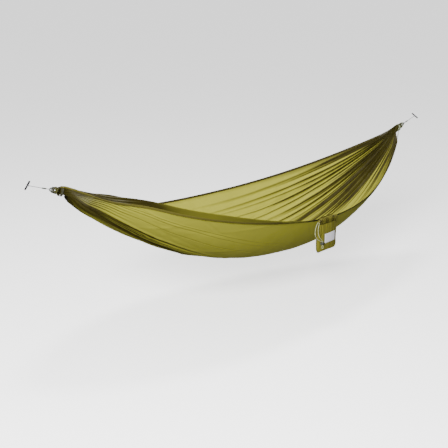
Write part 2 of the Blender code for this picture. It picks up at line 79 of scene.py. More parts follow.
TAILS = (("right_tail_long", 0.0715, -0.004, 0.150, 0.40), ("right_tail_short", 0.0668, -0.008, 0.125, 0.30))
TAIL_V = -0.0136
TAIL_DROP = ((0, 0), (-0.12, -0.25), (-0.38, -0.50), (-0.70, -0.77), (-1.0, -1.0))

POUCH_S = 0.085
POUCH_HALF, POUCH_TOP, POUCH_END, POUCH_CORNER = 0.0900, 0.0180, 0.1620, 0.022
POUCH_MID, BINDING_R = 0.0152, 0.0020
LABEL_A, LABEL_D = (-0.032, 0.066), (0.072, 0.121)
COLLAR_HALF, COLLAR_UP, COLLAR_DOWN = 0.083, -0.0160, 0.0175

LOCK = (-0.0718, 0.0390, 0.1120)
LOCK_BACK, BUTTON_BACK = -0.0100, -0.0025
SPRING_R, SPRING_WIRE, SPRING_TURNS = 0.0034, 0.0003, 3
CORD_A, CORD_N = 0.00175, 0.00155

CLOTH_FLAT = (1.07, 2.86)     # the bed cloth: its widest section and its keel, laid flat
rng = np.random.default_rng(7)


class End:
    """The axes at one end: u runs into the fabric, v is +Y, w is square to both and up."""

    def __init__(self, name, side, bar_turn):
        self.name, self.side = name, side
        self.base = Vector((MIDDLE.x + side * (HALF + TIP_U * COS), 0.0, 0.0))
        self.u = Vector((-side * COS, 0.0, -SIN))
        self.v = Vector((0.0, 1.0, 0.0))
        self.w = Vector((-side * SIN, 0.0, COS))
        self.bar = self.w * math.cos(bar_turn) + self.v * (side * math.sin(bar_turn))
        self.tilt = self.u.cross(self.bar)

    def at(self, u, v=0.0, w=0.0):
        return self.base + self.u * u + self.v * v + self.w * w


ENDS = (End("left", -1, math.radians(26.6)), End("right", 1, math.radians(52.5)))


# ---- camera, light and floor -------------------------------------------------------------
AIM = Vector((1.0877, 0.0, -0.3561))
AIM_DISTANCE, AIM_TURN, AIM_DROP = 5.401, math.radians(45), 0.2524
LENS = 82.9
FLOOR_Z = -0.87
FLOOR_SIZE, FLOOR_GLOW = 160.0, 1.2
WORLD_ABOVE, WORLD_BELOW, WORLD_SEEN = 0.34, 0.12, 1.8
LIGHTS_AIM = (1.33, 0.0, -0.35)
LIGHTS = (("key", (-4.3, -4.0, 2.4), 2.2, 2100), ("top", (1.3, 0.1, 3.2), 0.9, 100))     # place, size, power


def link_object(name, data):
    obj = bpy.data.objects.new(name, data)
    bpy.context.scene.collection.objects.link(obj)
    return obj


def make_camera():
    data = bpy.data.cameras.new("camera")
    data.lens, data.sensor_width = LENS, 36.0
    cam = link_object("camera", data)
    forward = Vector((math.sin(AIM_TURN) * math.cos(AIM_DROP), math.cos(AIM_TURN) * math.cos(AIM_DROP),
                      -math.sin(AIM_DROP)))
    cam.location = AIM - forward * AIM_DISTANCE
    cam.rotation_euler = forward.to_track_quat("-Z", "Y").to_euler()
    bpy.context.scene.camera = cam


def area_light(name, place, size, power):
    data = bpy.data.lights.new(name, "AREA")
    data.shape, data.size, data.energy = "DISK", size, power
    light = link_object(name, data)
    light.location = place
    light.rotation_euler = (Vector(LIGHTS_AIM) - Vector(place)).to_track_quat("-Z", "Y").to_euler()


def make_studio():
    """A sky brighter above than below, and brightest to the camera, with two lights and a floor."""
    n = Nodes(bpy.data.worlds.new("studio"))
    way = n.add("ShaderNodeSeparateXYZ", {0: n.add("ShaderNodeTexCoord").outputs["Generated"]})
    sky = n.range(way.outputs["Z"], -0.6, 0.7, WORLD_BELOW, WORLD_ABOVE)
    seen = n.add("ShaderNodeLightPath").outputs["Is Camera Ray"]
    background = n.tree.nodes["Background"].inputs
    n.put(background["Strength"], n.add("ShaderNodeMix", {0: seen, 2: sky, 3: WORLD_SEEN}).outputs[0])
    background["Color"].default_value = rgba(1.0, 1.0, 1.0)
    bpy.context.scene.world = n.owner
    for each in LIGHTS:
        area_light(*each)
    k = np.linspace(-FLOOR_SIZE / 2, FLOOR_SIZE / 2, 9)
    flat = np.stack(np.meshgrid(k, k, 0.0, indexing="ij"), axis=-1)[:, :, 0]
    floor = grid_object("floor", flat, material_floor())
    floor.location = (MIDDLE.x, 0.0, FLOOR_Z)
    floor.visible_diffuse = floor.visible_glossy = False


# ---- node helpers ------------------------------------------------------------------------
class Nodes:
    """The node tree of a material or a world, with short calls for the nodes used here."""

    def __init__(self, owner):
        self.owner = owner
        owner.use_nodes = True
        self.tree = owner.node_tree
        self.shader = self.tree.nodes.get("Principled BSDF")

    def add(self, kind, inputs=(), **settings):
        node = self.tree.nodes.new(kind)
        for key, value in settings.items():
            setattr(node, key, value)
        for key, value in dict(inputs).items():
            self.put(node.inputs[key], value)
        return node

    def put(self, socket, value):
        if isinstance(value, bpy.types.NodeSocket):
            self.tree.links.new(value, socket)
        elif hasattr(value, "outputs"):
            self.tree.links.new(value.outputs[0], socket)
        else:
            socket.default_value = value

    def set(self, **inputs):
        names = {"colour": "Base Color", "rough": "Roughness", "metal": "Metallic", "normal": "Normal",
                 "sheen": "Sheen Weight", "spec": "Specular IOR Level"}
        for key, value in inputs.items():
            self.put(self.shader.inputs[names[key]], value)

    def math(self, operation, a, b=0.0):
        return self.add("ShaderNodeMath", {0: a, 1: b}, operation=operation)

    def mix(self, share, a, b):
        return self.add("ShaderNodeMix", {0: share, 6: a, 7: b}, data_type="RGBA").outputs[2]

    def noise(self, vector, scale, detail=3.0, rough=0.5):
        return self.add("ShaderNodeTexNoise", {"Vector": vector, "Scale": scale, "Detail": detail,
                                               "Roughness": rough}).outputs["Fac"]

    def cloth_uv(self):
        return self.add("ShaderNodeUVMap", uv_map="cloth").outputs["UV"]

    def place(self):
        return self.add("ShaderNodeTexCoord").outputs["Object"]

    def attribute(self, name):
        return self.add("ShaderNodeAttribute", attribute_name=name).outputs["Fac"]

    def grain(self, vector, scale, detail, low, high):
        """Noise spread between two values."""
        return self.range(self.noise(vector, scale, detail), 0.3, 0.7, low, high)

    def bump(self, height, strength, distance):
        return self.add("ShaderNodeBump", {"Height": height, "Strength": strength,
                                           "Distance": distance}).outputs["Normal"]

    def range(self, value, low, high, new_low, new_high):
        return self.add("ShaderNodeMapRange", {"Value": value, "From Min": low, "From Max": high,
                                               "To Min": new_low, "To Max": new_high}).outputs["Result"]


def rgba(r, g, b):
    return (r, g, b, 1.0)


def material_floor():
    n = Nodes(bpy.data.materials.new("pale_floor"))
    n.set(colour=rgba(0.9, 0.9, 0.9), rough=0.8)
    n.put(n.shader.inputs["Emission Color"], rgba(1.0, 1.0, 1.0))
    n.put(n.shader.inputs["Emission Strength"], FLOOR_GLOW)
    return n.owner


RIPSTOP_PITCH, RIPSTOP_GAP = 0.0055, 0.88
LABEL_THREAD = 0.0006


def material_nylon(name, lit, dark, see_through, gloss):
    """Thin ripstop: a fine square grid of heavier threads, glossy, lit through from behind, with painted
    shade mixed in by the mesh's mark.
    """
    n = Nodes(bpy.data.materials.new(name))
    uv = n.cloth_uv()
    parts = n.add("ShaderNodeSeparateXYZ", {"Vector": uv})
    waves = [n.math("FRACT", n.math("MULTIPLY", parts.outputs[k], 1 / RIPSTOP_PITCH)) for k in (0, 1)]
    ripstop = n.math("MAXIMUM", *(n.math("GREATER_THAN", wave, RIPSTOP_GAP) for wave in waves))
    cloud = n.noise(uv, 9.0, 4.0)
    weave = n.noise(uv, 900.0, 1.0)
    # painted shade: the mesh's mark blends the lit colour towards the shaded one
    painted_shade_and_seam = n.attribute("painted_shade_and_seam")
    share = n.math("MINIMUM", n.math("ADD", painted_shade_and_seam, n.range(cloud, 0.35, 0.75, -0.03, 0.05)), 1.0)
    share = n.math("MAXIMUM", share, 0.0)
    colour = n.mix(share, rgba(*lit), rgba(*dark))
    colour = n.mix(n.math("MULTIPLY", ripstop, 0.16), colour, rgba(*(c * 0.6 for c in lit)))
    height = n.math("ADD", n.math("MULTIPLY", ripstop, 0.6), n.math("MULTIPLY", weave, 0.4))
    n.set(colour=colour, rough=n.range(cloud, 0.3, 0.7, gloss - 0.05, gloss + 0.08),
          normal=n.bump(height, 0.25, 0.0002), spec=0.14)
    through = n.add("ShaderNodeBsdfTranslucent", {"Color": n.mix(share, rgba(*(min(1, c * 1.5) for c in lit)),
                                                                 rgba(*dark))})
    mixed = n.add("ShaderNodeMixShader", {0: see_through, 1: n.shader.outputs[0], 2: through.outputs[0]})
    n.put(n.tree.nodes["Material Output"].inputs["Surface"], mixed.outputs[0])
    return n.owner


def material_cord(name, base, fleck, fleck_share):
    """A braid: the strands are in the mesh, the colour of single strands is here."""
    n = Nodes(bpy.data.materials.new(name))
    uv = n.cloth_uv()
    cells = n.add("ShaderNodeTexVoronoi", {"Vector": uv, "Scale": 700.0}, feature="F1")
    pick = n.add("ShaderNodeSeparateColor", {0: cells.outputs["Color"]})
    fleck_mask = n.math("LESS_THAN", pick.outputs[0], fleck_share)
    shade = n.grain(uv, 1500.0, 2.0, 0.75, 1.2)
    colour = n.mix(fleck_mask, rgba(*base), rgba(*fleck))
    colour = n.mix(n.math("MULTIPLY", shade, 0.25), colour, rgba(*(c * 0.4 for c in base)))
    n.set(colour=colour, rough=0.75, sheen=0.06, spec=0.12,
          normal=n.bump(n.noise(uv, 2500.0, 2.0), 0.4, 0.0003))
    return n.owner


def material_alloy():
    n = Nodes(bpy.data.materials.new("anodised_alloy"))
    place = n.place()
    edge = n.attribute("worn")
    scuff = n.math("MULTIPLY", edge, n.range(n.noise(place, 900.0, 4.0), 0.45, 0.6, 0.0, 0.7))
    n.set(colour=n.mix(scuff, rgba(0.008, 0.008, 0.009), rgba(0.30, 0.30, 0.31)), metal=0.9,
          rough=n.grain(place, 1400.0, 3.0, 0.30, 0.46),
          normal=n.bump(n.noise(place, 2600.0, 2.0), 0.15, 0.0001))
    return n.owner


def material_plastic():
    n = Nodes(bpy.data.materials.new("moulded_plastic"))
    place = n.place()
    n.set(colour=n.mix(n.noise(place, 500.0, 3.0), rgba(0.018, 0.020, 0.014), rgba(0.032, 0.035, 0.024)),
          rough=n.grain(place, 1800.0, 2.0, 0.42, 0.6),
          normal=n.bump(n.noise(place, 3000.0, 2.0), 0.25, 0.0001))
    return n.owner


def material_steel():
    n = Nodes(bpy.data.materials.new("spring_steel"))
    n.set(colour=rgba(0.5, 0.5, 0.5), metal=1.0, rough=n.grain(n.place(), 2000.0, 3.0, 0.2, 0.35))
    return n.owner


def material_label():
    n = Nodes(bpy.data.materials.new("woven_label"))
    uv = n.cloth_uv()
    parts = n.add("ShaderNodeSeparateXYZ", {"Vector": uv})
    threads, cross = (n.math("SINE", n.math("MULTIPLY", parts.outputs[k], 2 * math.pi / LABEL_THREAD))
                      for k in (1, 0))
    weave = n.math("MULTIPLY", threads, cross)
    edge = n.attribute("painted_shade_and_seam")
    n.set(colour=n.mix(edge, rgba(0.42, 0.41, 0.43), rgba(0.26, 0.26, 0.25)), rough=0.6,
          normal=n.bump(weave, 0.3, 0.0002), sheen=0.2)
    return n.owner


MATS = {}
NYLONS = {     # lit colour, colour of the painted shade in folds and shaded parts, light let through, gloss
    "nylon": ("ripstop_nylon", (0.206, 0.200, 0.024), (0.0085, 0.0050, 0.0007), 0.28, 0.46),
    "pouch": ("pouch_nylon", (0.118, 0.110, 0.013), (0.014, 0.010, 0.001), 0.12, 0.42),
    "hem": ("hem_nylon", (0.062, 0.055, 0.009), (0.012, 0.009, 0.002), 0.10, 0.45),
    # the ripstop darkened as painted shade for the crushed ends
    "gather": ("gathered_nylon_painted_shade", (0.050, 0.050, 0.012), (0.012, 0.011, 0.003), 0.08, 0.45),
}
CORDS = {     # colour, colour of the flecks, share of flecks
    "thread": ("hem_thread", (0.04, 0.035, 0.008), (0.09, 0.08, 0.03), 0.1),
    "end_cord": ("end_cord", (0.014, 0.016, 0.007), (0.09, 0.10, 0.06), 0.14),
    "dark_lashing": ("dark_lashing_cord", (0.016, 0.015, 0.006), (0.05, 0.05, 0.025), 0.15),
    "lashing": ("pale_lashing_cord", (0.125, 0.140, 0.080), (0.30, 0.32, 0.24), 0.25),
    "line": ("toggle_line", (0.17, 0.17, 0.175), (0.06, 0.06, 0.065), 0.2),
    "drawcord": ("drawcord", (0.28, 0.30, 0.15), (0.45, 0.45, 0.32), 0.2),
}


def make_materials():
    for key, values in NYLONS.items():
        MATS[key] = material_nylon(*values)
    for key, values in CORDS.items():
        MATS[key] = material_cord(*values)
    MATS.update(plastic=material_plastic(), alloy=material_alloy(), steel=material_steel(),
                label=material_label())


# ---- mesh helpers ------------------------------------------------------------------------
def uv_from(first, second):
    return np.stack(np.broadcast_arrays(first, second), axis=2)


def rings_around(path, side, other, radius, turn):
    """Points round each place of a path, at a radius that may change from place to place."""
    return path[:, None] + side[:, None] * (radius * np.cos(turn))[..., None] \
        + other[:, None] * (radius * np.sin(turn))[..., None]


def read_at(array, run, where):
    """The rows of an array read at lengths along its run."""
    return np.stack([np.interp(where, run, array[:, k]) for k in range(3)], axis=1)


def unit_rows(array):
    return array / np.linalg.norm(array, axis=1)[:, None]


def thicken(obj, thickness, offset):
    solidify = obj.modifiers.new("thickness", "SOLIDIFY")
    solidify.thickness, solidify.offset = thickness, offset


def grid_object(name, points, mat, uv=None, marks=None, round_i=False, round_j=False, caps=False):
    """A mesh over a grid of points; round_i or round_j joins the last row or column to the first."""
    rows, cols = points.shape[:2]
    index = np.arange(rows * cols).reshape(rows, cols)
    last_i = rows if round_i else rows - 1
    last_j = cols if round_j else cols - 1
    i, j = np.meshgrid(np.arange(last_i), np.arange(last_j), indexing="ij")
    i, j = i.ravel(), j.ravel()
    corners = ((i, j), (i, j + 1), (i + 1, j + 1), (i + 1, j))
    quads = np.stack([index[a % rows, b % cols] for a, b in corners], axis=1)
    verts = [tuple(p) for p in points.reshape(-1, 3)]
    faces = [tuple(q) for q in quads]
    if caps:
        for row, flip in ((0, True), (rows - 1, False)):
            ring = index[row].tolist()
            centre = len(verts)
            verts.append(tuple(points[row].mean(axis=0)))
            for k in range(cols):
                pair = (ring[k], ring[(k + 1) % cols])
                faces.append((*(pair[::-1] if flip else pair), centre))
    mesh = bpy.data.meshes.new(name)
    mesh.from_pydata(verts, [], faces)
    layer = mesh.uv_layers.new(name="cloth")
    if uv is None:
        uv = uv_from(np.arange(rows + 1.0)[:, None], np.arange(cols + 1.0)[None]) * 0.001
    flat_uv = np.stack([uv[a.clip(max=len(uv) - 1), b.clip(max=uv.shape[1] - 1)] for a, b in corners], axis=1)
    values = np.zeros((len(mesh.loops), 2))
    values[:flat_uv.size // 2] = flat_uv.reshape(-1, 2)
    layer.data.foreach_set("uv", values.ravel())
    for key, array in (marks or {"painted_shade_and_seam": 0.0}).items():
        made = mesh.attributes.new(key, "FLOAT", "POINT")
        full = np.zeros(len(verts), np.float32)
        full[:rows * cols] = np.broadcast_to(array, (rows, cols)).ravel()
        made.data.foreach_set("value", full)
    mesh.shade_smooth()
    mesh.materials.append(mat)
    return link_object(name, mesh)


def run_lengths(points):
    steps = np.linalg.norm(np.diff(points, axis=0), axis=1)
    return np.concatenate([[0.0], np.cumsum(steps)])


def resample(points, step, closed=False):
    """An even polyline along points, as an array."""
    p = np.array([tuple(q) for q in points], float)
    if closed:
        p = np.vstack([p, p[:1]])
    run = run_lengths(p)
    count = max(3, int(round(run[-1] / step)) + 1)
    even = read_at(p, run, np.linspace(0, run[-1], count))
    return even[:-1] if closed else even


def frames_along(path, closed):
    """Two unit vectors square to the path at each point, turning as little as they can."""
    n = len(path)
    ahead = np.roll(path, -1, axis=0) - np.roll(path, 1, axis=0)
    if not closed:
        ahead[0], ahead[-1] = path[1] - path[0], path[-1] - path[-2]
    ahead = unit_rows(ahead)
    start = np.cross(ahead[0], [0.31, 0.52, 0.79])
    side = [start / np.linalg.norm(start)]
    for k in range(1, n):
        s = side[-1] - ahead[k] * side[-1].dot(ahead[k])
        side.append(s / np.linalg.norm(s))
    side = np.array(side)
    if closed:
        s = side[-1] - ahead[0] * side[-1].dot(ahead[0])
        s /= np.linalg.norm(s)
        miss = math.atan2(np.dot(np.cross(s, side[0]), ahead[0]), s.dot(side[0]))
        turn = miss * np.arange(n) / n
        other = np.cross(ahead, side)
        side = side * np.cos(turn)[:, None] + other * np.sin(turn)[:, None]
    return side, np.cross(ahead, side)


def tube(name, points, radius, mat, sides=12, step=0.0006, closed=False, braid=0.09, strands=4,
         lay=0.004, taper=0.0):
    """A cord with its braid in the mesh: two families of strands that cross as diamonds."""
    path = resample(points, step, closed)
    side, other = frames_along(path, closed)
    run = run_lengths(path)
    turn = 2 * np.pi * np.arange(sides) / sides
    a, l = turn[None, :], run[:, None] * 2 * np.pi / lay
    weave = np.maximum(np.abs(np.sin((strands * a + l) / 2)), np.abs(np.sin((strands * a - l) / 2)))
    size = radius * (1 - braid + braid * weave ** 0.7)
    if taper:
        ends = np.minimum(run, run[-1] - run)[:, None]
        size = size * np.sqrt(np.clip(1 - (1 - np.clip(ends / taper, 0, 1)) ** 2, 0.05, 1))
    points = rings_around(path, side, other, size, a)
    uv = uv_from(run[:, None], (np.arange(sides + 1) * 2 * np.pi * radius / sides)[None])
    if closed:
        uv = np.concatenate([uv, uv[-1:] + [[step, 0]]])
    return grid_object(name, points, mat, uv, round_i=closed, round_j=True, caps=not closed)


def lathe(name, centre, axis, side, profile, mat, steps=48, worn=None, flat=None):
    """A body turned about axis, from (along, radius) pairs with closed ends."""
    other = axis.cross(side)
    profile = [(profile[0][0], 1e-5)] + list(profile) + [(profile[-1][0], 1e-5)]
    turn = 2 * np.pi * np.arange(steps) / steps
    along, radius = np.array(profile).T[..., None]
    reach = radius * np.cos(turn)[None]
    if flat is not None:
        reach = np.minimum(reach, flat)
    points = np.array(centre) + along[..., None] * np.array(axis) + reach[..., None] * np.array(side) \
        + (radius * np.sin(turn)[None])[..., None] * np.array(other)
    marks = {"worn": worn(along) if worn else 0.0}
    obj = grid_object(name, points, mat, marks=marks, round_j=True)
    obj.data.set_sharp_from_angle(angle=math.radians(40))
    return obj


def value_noise(x, y, seed):
    """Smooth noise from 0 to 1 on a unit lattice."""
    x, y = np.broadcast_arrays(np.asarray(x, float), np.asarray(y, float))
    xi, yi = np.floor(x).astype(np.int64), np.floor(y).astype(np.int64)
    fx, fy = x - xi, y - yi
    fx, fy = fx * fx * (3 - 2 * fx), fy * fy * (3 - 2 * fy)

    def lattice(a, b):
        h = (a * 374761393 + b * 668265263 + seed * 974634777) & 0xFFFFFFFF
        h = ((h ^ (h >> 13)) * 1274126177) & 0xFFFFFFFF
        return ((h ^ (h >> 16)) & 0xFFFF) / 65535.0

    low = lattice(xi, yi) * (1 - fx) + lattice(xi + 1, yi) * fx
    high = lattice(xi, yi + 1) * (1 - fx) + lattice(xi + 1, yi + 1) * fx
    return low * (1 - fy) + high * fy


def smooth(x, low, high):
    k = np.clip((x - low) / (high - low), 0, 1)
    return k * k * (3 - 2 * k)


# ---- the fabric bed ----------------------------------------------------------------------
def bell(s, power):
    return 1 - np.abs(s) ** power


def slanted(x, y, slant):
    return x * math.cos(slant) + y * math.sin(slant), -x * math.sin(slant) + y * math.cos(slant)


def bed_section(s, samples=257):
    """Points across the bed at s, from the near rim to the far one."""
    t = np.linspace(-1, 1, samples)
    lean = s * (1 - s * s)
    y_near, y_far = (rim["w"] * bell(s, rim["p"]) + rim["lean_y"] * lean for rim in (NEAR, FAR))
    z_near, z_far, z_keel = (-(edge["d"] * bell(s, edge["q"]) + edge["lean_z"] * lean)
                             for edge in (NEAR, FAR, KEEL))
    y = np.where(t < 0, y_near * t, y_far * t)
    z = z_keel + (np.where(t < 0, z_near, z_far) - z_keel) * np.abs(t) ** SECTION
    hung = np.stack([np.full(samples, MIDDLE.x + s * HALF), y, MIDDLE.z + z], axis=1)
    end = ENDS[0] if s < 0 else ENDS[1]
    u = TIP_U + (1 - abs(s)) * HALF / COS
    v = np.sign(t) * BUNDLE_V * np.sin(np.pi / 2 * np.minimum(1, np.abs(t) * BUNDLE_SPREAD))
    w = BUNDLE_LOW + (BUNDLE_TOP - BUNDLE_LOW) * t * t
    bundle = (np.array(end.base) + np.array(end.u) * u
              + v[:, None] * np.array(end.v) + w[:, None] * np.array(end.w))
    close = float(smooth(abs(s), S_OPEN, S_TIGHT))
    return hung * (1 - close) + bundle * close


FLAP, FLAP_LEAST, FLAP_R = 0.044, 0.0012, 0.0022     # the near rim's turned-over strip, widest at the left
FLAP_GROWS, FLAP_ENDS = (-0.985, -0.84), (-0.60, 0.10)
RIM_LIFTS = ((0.0080, -0.93, 0.06), (0.0065, -0.86, 0.05), (0.0140, -0.76, 0.09))     # height, place, width
RIM_LIFT_REACH = 0.10


def flap_width(s):
    return FLAP_LEAST + FLAP * float(smooth(s, *FLAP_GROWS) * (1 - smooth(s, *FLAP_ENDS)))


def rim_lift(s):
    """How far the rolled near rim stands up where it leaves the left end."""
    return sum(height * math.exp(-((s - place) / wide) ** 2) for height, place, wide in RIM_LIFTS)


def cloth_section(s):
    """The bed's section with the turned-over rim on the near side, from its free edge."""
    line = bed_section(s)
    line[:, 2] += rim_lift(s) * np.exp(-(run_lengths(line) / RIM_LIFT_REACH) ** 2)
    flap = flap_width(s)
    down = line[6] - line[0]
    down /= np.linalg.norm(down)
    out = np.cross([1.0, 0.0, 0.0], down)
    out /= np.linalg.norm(out)
    if out[1] > 0:
        out = -out
    radius = min(FLAP_R, flap / 5)
    turns = np.linspace(np.pi, 0, 9)[:-1]
    over = [line[0] + out * (radius * (1 - math.cos(a))) - down * (radius * math.sin(a)) for a in turns]
    fall = max(flap - np.pi * radius, 1e-4)
    hang = [line[0] + out * (2 * radius + 0.10 * d) + down * d for d in np.linspace(fall, 0, 14)[:-1]]
    return np.vstack([hang, over, line])


def stations(count):
    """Places along the bed, closer together towards the ends."""
    k = np.linspace(-1, 1, count)
    return S_END * (np.sign(k) * (1 - (1 - np.abs(k)) ** 1.8) * 0.6 + 0.4 * k)


GATHER_FOLDS, GATHER_REACH = 31, {-1: 0.26, 1: 0.42}
FANS = (     # side, creases, span of the width, reach, power, crease width, darkness of the painted shade
    (1, 13, (0.03, 0.38), (0.30, 0.75), 1.2, (0.008, 0.015), (1.2, 2.0)),
    (1, 22, (0.38, 0.97), (0.30, 0.72), 1.2, (0.009, 0.017), (1.6, 2.4)),
    (1, 11, (0.40, 0.72), (0.55, 0.98), 1.0, (0.011, 0.018), (1.6, 2.4)),
    (1, 12, (0.45, 0.95), (0.75, 1.15), 1.0, (0.008, 0.013), (1.1, 1.9)),
    (-1, 3, (0.14, 0.28), (0.90, 1.05), 1.0, (0.0030, 0.0045), (0.8, 1.1)),
    (-1, 13, (0.35, 0.56), (0.55, 1.00), 1.0, (0.009, 0.015), (1.3, 2.0)),
    (-1, 22, (0.56, 0.98), (0.20, 0.80), 1.6, (0.005, 0.012), (0.5, 1.0)),
)
WRINKLES = (     # count, places along and across, slants, lengths, widths, heights
    (22, (-0.60, 0.55), (0.50, 0.92), (0.15, 0.75), (0.10, 0.28), (0.016, 0.040), (0.0020, 0.0050)),
    (46, (-0.75, 0.75), (0.06, 0.94), (-1.1, 1.1), (0.06, 0.20), (0.006, 0.018), (0.0006, 0.0022)),
)
HIGHEST_FOLD = 0.010


def add_crease(height, dark, s, q, length, side, start, far, wide, lift, crease_shade):
    """One tucked crease that runs from an end and narrows to nothing at its reach, with painted shade along
    one side.
    """
    r = 1 - side * s
    left = np.clip(1 - r / far, 0, 1)
    centre = start + 0.004 * np.sin(6 * r + 40 * start)
    x = (q - centre) / (wide * (0.45 + 0.55 * left))
    fade = left ** 0.7
    height += lift * wide * length * fade * 1.5 * x * np.exp(-0.5 * x * x)
    # painted shade beside the crease, fading with it
    dark += crease_shade * fade * np.exp(-((x - 0.8 * np.sign(lift)) ** 2) / 0.55)


def add_fan(height, dark, s, q, length, side, count, span, reach, power, width, crease_shade):
    """Creases spread over a span of the cloth's width, most of them short and a few long, each with painted
    shade.
    """
    for k in range(count):
        start = span[0] + (span[1] - span[0]) * (k + rng.uniform(0.1, 0.9)) / count
        far = reach[0] + (reach[1] - reach[0]) * rng.random() ** power
        add_crease(height, dark, s, q, length, side, start, far, rng.uniform(*width),
                   rng.uniform(0.45, 0.95) * rng.choice([-1, 1]), rng.uniform(*crease_shade))


def add_gather(height, dark, s, q, length, side):
    """The close folds next to an end, where the whole width is drawn into the cord, with painted shade in
    their hollows.
    """
    r = 1 - side * s
    warp = 0.8 * (value_noise(q * 17, r * 3, 61 + side) - 0.5)
    wave = np.sin(2 * np.pi * (GATHER_FOLDS * q + warp))
    fade = 1 - smooth(r, 0.08, GATHER_REACH[side])
    size = (0.45 + 0.75 * value_noise(q * GATHER_FOLDS * 0.9, r * 5 + 9, 71 + side)) * fade
    height += 0.26 * length / GATHER_FOLDS * size * wave
    dark += 0.65 * size * smooth(-wave, 0.2, 1.0)


def add_wrinkles(height, s, q, count, s_span, q_span, slants, sizes, widths, lifts):
    """Slack wrinkles lying at a slant across the bed, each a low bank that fades at its ends."""
    for _ in range(count):
        cs, cq = rng.uniform(*s_span), rng.uniform(*q_span)
        along, across = slanted((s - cs) * HALF, (q - cq) * 1.05, rng.uniform(*slants))
        size, wide = rng.uniform(*sizes), rng.uniform(*widths)
        lift = rng.uniform(*lifts) * rng.choice([-1, 1])
        height += lift * np.exp(-(along / size) ** 2) * np.exp(-(across / wide) ** 2)


def add_shade(dark, s, q, length, turned):
    """Broad painted shade: the turned-over rim, the two tips, the left keel and cuff, the near side towards
    the right end, and the far rim.
    """
    dark += (0.58 + 0.25 * smooth(-s, 0.6, 0.95)) * (q < turned) + 0.40 * smooth(np.abs(s), 0.76, 0.985)
    dark += 0.38 * np.exp(-((q - 0.52) / 0.11) ** 2) * smooth(-s, 0.05, 0.55)
    dark += 0.60 * np.exp(-(q * length / 0.045) ** 4) * smooth(-s, 0.55, 0.86)
    dark += 0.45 * smooth(-s, 0.80, 0.96)
    dark += 0.45 * np.exp(-((q - 0.22) / 0.17) ** 2) * smooth(s, 0.45, 0.92)
    far_rim = (1 - q) * length
    wide = 0.022 + 0.014 * smooth(s, 0.2, 0.9)
    dark += (0.30 + 0.35 * smooth(s, 0.1, 0.8)) * np.exp(-(far_rim / wide) ** 4)


def cloth_surface(rows=361, cols=441):
    """The bed cloth: shares across, points, normals, lengths across, and how much painted shade each point
    has.
    """
    s = stations(rows)
    q = np.linspace(0, 1, cols)
    points, length = np.zeros((rows, cols, 3)), np.zeros(rows)
    for i, each in enumerate(s):
        curve = cloth_section(each)
        run = run_lengths(curve)
        points[i], length[i] = read_at(curve, run, q * run[-1]), run[-1]
    along = np.gradient(points, axis=0)
    across = np.gradient(points, axis=1)
    normal = np.cross(along, across)
    normal /= np.linalg.norm(normal, axis=2)[..., None]
    s2, q2, l2 = s[:, None], q[None, :], length[:, None]
    height, dark = np.zeros((rows, cols)), np.zeros((rows, cols))
    for side in (-1, 1):
        add_gather(height, dark, s2, q2, l2, side)
    for each in FANS:
        add_fan(height, dark, s2, q2, l2, *each)
    for each in WRINKLES:
        add_wrinkles(height, s2, q2, *each)
    height += 0.0022 * (value_noise(s2 * 9 + 40, q2 * 7 + 3, 5) - 0.5) * bell(s2, 2)
    height += 0.0008 * (value_noise(s2 * 38 + 7, q2 * 24, 9) - 0.5) * bell(s2, 2)
    edge = smooth(np.minimum(q2, 1 - q2), 0.0, 0.03)
    height = np.clip(height * (0.35 + 0.65 * edge), -HIGHEST_FOLD, HIGHEST_FOLD)
    dark = dark * (0.5 + 0.5 * edge)
    add_shade(dark, s2, q2, l2, np.array([flap_width(x) for x in s])[:, None] / l2)
    dark = np.clip(dark, 0, 0.95)
    return q, points + normal * height[..., None], normal, length, dark


def bed_cloth():
    q, points, normal, length, dark = cloth_surface()
    uv = uv_from(run_lengths(points[:, len(q) // 2])[:, None], q[None, :] * CLOTH_FLAT[0])
    cloth = grid_object("bed_cloth", points, MATS["nylon"], uv, {"painted_shade_and_seam": dark})
    finish_piece(cloth, "bed", "nylon", "bed_panel")
    hems = []
    for each in (("near_hem", 0, 6), ("far_hem", -1, -12)):
        hems += hem_band(points, normal, length, *each)


HEM_HALF, HEM_THICK, HEM_PUCKER = 0.0062, 0.0008, 0.013
HEM_OUTLINE = ((1.0, 0.0), (0.92, 0.8), (0.6, 1.0), (0.0, 0.9), (-0.6, 1.0), (-0.95, 0.8), (-1.0, 0.0),
               (-0.95, -0.8), (-0.6, -1.0), (0.0, -0.9), (0.6, -1.0), (0.92, -0.8))


def hem_band(points, normal, length, name, column, inner):
    """A twice-folded hem over the cloth's edge, and its line of stitches."""
    edge = points[:, column]
    across = smooth_rows(unit_rows(edge - points[:, inner]), 9)
    face = smooth_rows(normal[:, column], 9)
    face -= across * np.sum(face * across, axis=1)[:, None]
    face = unit_rows(face)
    half = np.minimum(HEM_HALF, 0.055 * length)[:, None]
    run = run_lengths(edge)
    pucker = 0.0004 * np.sin(run * 2 * np.pi / HEM_PUCKER)
    pucker = pucker + 0.0005 * (value_noise(run * 45, 0 * run, 3) - 0.5)
    middle = edge - across * (half * 0.75) + face * pucker[:, None]
    rings = np.stack([middle + across * (half * x) + face * (HEM_THICK * y + 0.0002 * np.sign(y))
                      for x, y in HEM_OUTLINE], axis=1)
    uv = uv_from(run[:, None], (np.arange(len(HEM_OUTLINE) + 1) * 0.0022)[None])
    # painted shade on the hems: all along the far hem, and on the near hem growing from x 0.75 m to 1.35 m
    turned = 1.0 if column else smooth(edge[:, 0], 0.75, 1.35)
    dark = (turned * 0.8 + 0 * run)[:, None]
    band = grid_object(name + "_band", rings, MATS["hem"], uv, {"painted_shade_and_seam": dark}, round_j=True, caps=True)
    finish_piece(band, "bed", "hem", name)
    seam = stitches(name + "_stitching", middle - across * (half * 0.45), across, face, HEM_THICK + 0.0004)
    finish_piece(seam, "bed", "hem")
    return [band, seam]


